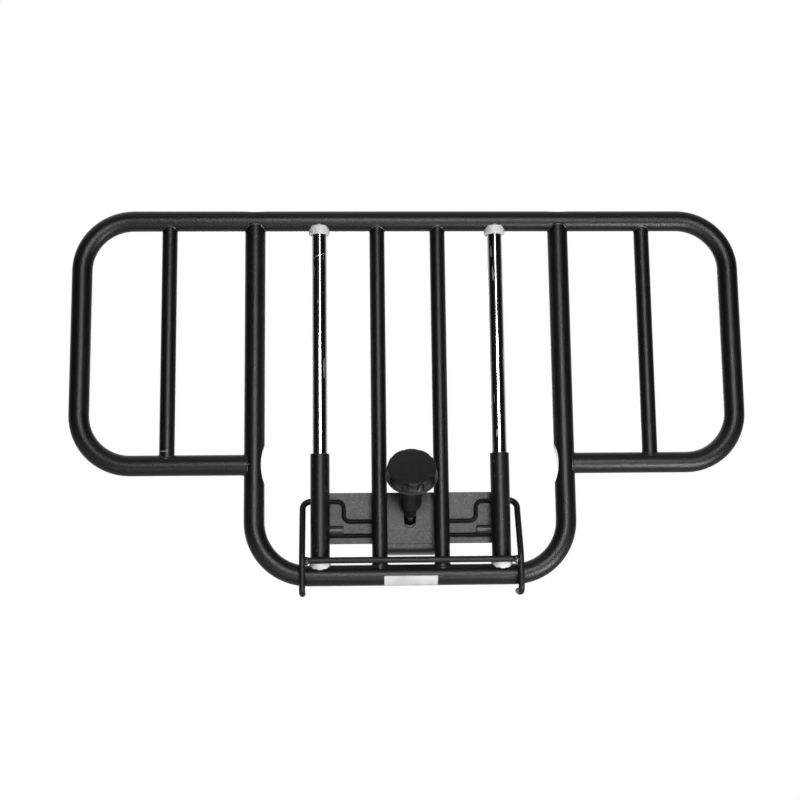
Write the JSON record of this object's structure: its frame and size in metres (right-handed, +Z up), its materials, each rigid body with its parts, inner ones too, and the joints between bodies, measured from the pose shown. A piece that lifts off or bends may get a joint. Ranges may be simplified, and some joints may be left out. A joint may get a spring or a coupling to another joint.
{
  "type": "half-length bed side rail",
  "caption": "Half-length bed side rail: bent-tube frame that slides on guide rods through a clamp-on bracket, with a wire bail latch and a clamp knob.",
  "frame": {"origin": "on the floor of the clamp hook, at the foot of the lip's inner face, half way along the hook", "axes": "+X along the rail, to the right seen from the knob's side; +Y from the rail towards the bed; +Z up"},
  "size_m": [0.8364, 0.1436, 0.4825],
  "materials": {
    "frame_black": "matte fine-textured black powder coat",
    "bracket_black": "fine-textured black powder coat, slightly glossier",
    "sleeve_black": "semi-gloss black paint",
    "wire_black": "semi-gloss black paint",
    "rod_chrome": "bright chrome plate",
    "cap_white": "off-white moulded plastic",
    "bush_plastic": "black moulded plastic",
    "knob_black": "matte black moulded plastic",
    "screw_zinc": "dark zinc plate",
    "foot_plastic": "black moulded plastic"
  },
  "bodies": {
    "bracket": {"mounting_plate": "bracket_black", "left_sleeve": "sleeve_black", "right_sleeve": "sleeve_black", "left_lower_bush": "bush_plastic", "right_lower_bush": "bush_plastic", "left_upper_bush": "bush_plastic", "right_upper_bush": "bush_plastic", "left_spacer": "bracket_black", "right_spacer": "bracket_black", "left_spring_arm": "wire_black", "right_spring_arm": "wire_black", "left_wire_clip": "bracket_black", "right_wire_clip": "bracket_black", "hook_bracket": "bracket_black", "screw_bush": "bracket_black"},
    "rail": {"upper_hoop": "frame_black", "u_frame": "frame_black", "left_wing_bar": "frame_black", "right_wing_bar": "frame_black", "left_center_bar": "frame_black", "right_center_bar": "frame_black", "left_guide_rod": "rod_chrome", "right_guide_rod": "rod_chrome", "left_top_cap": "cap_white", "right_top_cap": "cap_white", "left_bottom_cap": "cap_white", "right_bottom_cap": "cap_white"},
    "bail": {"left_bail_wire": "wire_black", "right_bail_wire": "wire_black", "bail_crossbar": "wire_black"},
    "foot": {"clamp_foot": "foot_plastic"},
    "knob": {"knob": "knob_black", "clamp_screw": "screw_zinc"}
  },
  "joints": [
    {"name": "rail_slide", "type": "slide", "parent": "bracket", "child": "rail", "axis": [0, 0, -1], "range_m": [-0.0035, 0.278]},
    {"name": "bail_swing", "type": "hinge", "parent": "bracket", "child": "bail", "pos_m": [0, -0.0519, 0.0595], "axis": [-1, 0, 0], "range_deg": [0, 25], "stiffness_Nm_per_rad": 1.2, "springref_deg": -22.92},
    {"name": "clamp_travel", "type": "slide", "parent": "bracket", "child": "foot", "axis": [0, 0.8192, -0.5736], "range_m": [0, 0.011]},
    {"name": "knob_turn", "type": "hinge", "parent": "foot", "child": "knob", "pos_m": [0, -0.02097, 0.02207], "axis": [0, 0.8192, -0.5736], "range_deg": [0, 2640]}
  ],
  "couplings": [
    {"joint": "knob_turn", "follows": "clamp_travel", "rad_per_m": 4188.8}
  ]
}
